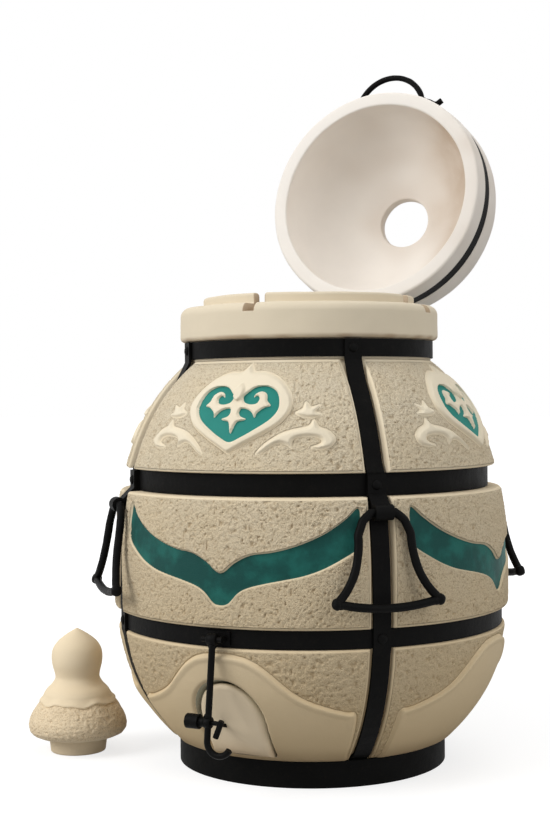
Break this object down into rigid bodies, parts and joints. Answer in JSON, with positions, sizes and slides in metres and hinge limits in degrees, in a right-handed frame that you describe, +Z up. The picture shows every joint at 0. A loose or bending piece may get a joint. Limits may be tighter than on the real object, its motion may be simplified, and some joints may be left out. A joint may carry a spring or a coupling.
{
  "type": "clay tandoor oven",
  "caption": "Clay tandoor oven in an iron strap cage, with a hinged domed lid, hinged carrying handles, a hanging ash door and a loose vent cap.",
  "frame": {"origin": "centre of the base ring's underside, on the floor", "axes": "+Z up along the pot's axis, -Y towards the ash door, +Y towards the lid hinge"},
  "size_m": [0.7104, 0.7408, 1.0911],
  "materials": {
    "pot_clay": "rough fired chamotte, smooth and creamy at rims and borders, with teal inlays",
    "lid_clay": "smooth fired clay",
    "cap_clay": "rough and smooth fired clay",
    "door_clay": "smooth fired clay",
    "cage_iron": "black heat-proof paint on flat bar",
    "ring_iron": "black heat-proof paint on flat bar",
    "handle_iron": "black paint on hand-forged rod",
    "rivet_iron": "black paint over domed rivets",
    "latch_iron": "black paint on hand-forged rod",
    "hinge_iron": "black paint",
    "grate_iron": "bare casting"
  },
  "bodies": {
    "pot": {"clay_body": "pot_clay", "base_ring": "ring_iron", "base_cross": "ring_iron", "lower_band": "cage_iron", "upper_band": "cage_iron", "neck_band": "cage_iron", "strap_front_left": "cage_iron", "strap_front_right": "cage_iron", "strap_back_right": "cage_iron", "strap_back_left": "cage_iron", "strap_rivets": "rivet_iron", "bracket_front_left": "handle_iron", "bracket_front_right": "handle_iron", "bracket_back_right": "handle_iron", "bracket_back_left": "handle_iron", "bracket_rivets": "rivet_iron", "door_eye": "latch_iron", "hinge_bracket": "hinge_iron", "hinge_rivets": "rivet_iron", "hinge_pin": "hinge_iron", "stop_bar": "hinge_iron"},
    "bail_front_left": {"bail_front_left": "handle_iron"},
    "bail_front_right": {"bail_front_right": "handle_iron"},
    "bail_back_right": {"bail_back_right": "handle_iron"},
    "bail_back_left": {"bail_back_left": "handle_iron"},
    "grate": {"fire_grate": "grate_iron", "grate_legs": "grate_iron"},
    "door_arm": {"door_arm": "latch_iron"},
    "latch": {"latch_pin": "latch_iron", "latch_knob": "latch_iron"},
    "door": {"ash_door": "door_clay", "door_strap": "latch_iron"},
    "lid": {"lid_shell": "lid_clay", "lid_band": "cage_iron", "hinge_leaf": "hinge_iron", "leaf_rivets": "rivet_iron", "lid_handle": "handle_iron"},
    "cap": {"cap": "cap_clay"}
  },
  "joints": [
    {"name": "lid_hinge", "type": "hinge", "parent": "pot", "child": "lid", "pos_m": [0, 0.203, 0.6755], "axis": [1, 0, 0], "range_deg": [0, 102.4]},
    {"name": "bail_front_left_swing", "type": "hinge", "parent": "pot", "child": "bail_front_left", "pos_m": [-0.2093, -0.2093, 0.388], "axis": [-0.7071, 0.7071, 0], "range_deg": [0, 150]},
    {"name": "bail_front_right_swing", "type": "hinge", "parent": "pot", "child": "bail_front_right", "pos_m": [0.2093, -0.2093, 0.388], "axis": [-0.7071, -0.7071, 0], "range_deg": [0, 150]},
    {"name": "bail_back_right_swing", "type": "hinge", "parent": "pot", "child": "bail_back_right", "pos_m": [0.2093, 0.2093, 0.388], "axis": [0.7071, -0.7071, 0], "range_deg": [0, 150]},
    {"name": "bail_back_left_swing", "type": "hinge", "parent": "pot", "child": "bail_back_left", "pos_m": [-0.2093, 0.2093, 0.388], "axis": [0.7071, 0.7071, 0], "range_deg": [0, 150]},
    {"name": "grate_lift", "type": "slide", "parent": "pot", "child": "grate", "axis": [0, 0, 1], "range_m": [0, 0.6]},
    {"name": "arm_swing", "type": "hinge", "parent": "pot", "child": "door_arm", "pos_m": [0, -0.302, 0.2195], "axis": [-1, 0, 0], "range_deg": [0, 20]},
    {"name": "door_hang", "type": "hinge", "parent": "door_arm", "child": "door", "pos_m": [-0.013, -0.308, 0.109], "axis": [-1, 0, 0], "range_deg": [-20, 0]},
    {"name": "latch_turn", "type": "hinge", "parent": "door_arm", "child": "latch", "pos_m": [-0.004, -0.308, 0.109], "axis": [-1, 0, 0], "range_deg": [0, 170]},
    {"name": "cap_lift", "type": "slide", "parent": "pot", "child": "cap", "axis": [-0.4657, -0.1819, 0.866], "range_m": [0, 0.3]}
  ],
  "couplings": [
    {"joint": "door_hang", "follows": "arm_swing", "ratio": -1}
  ]
}
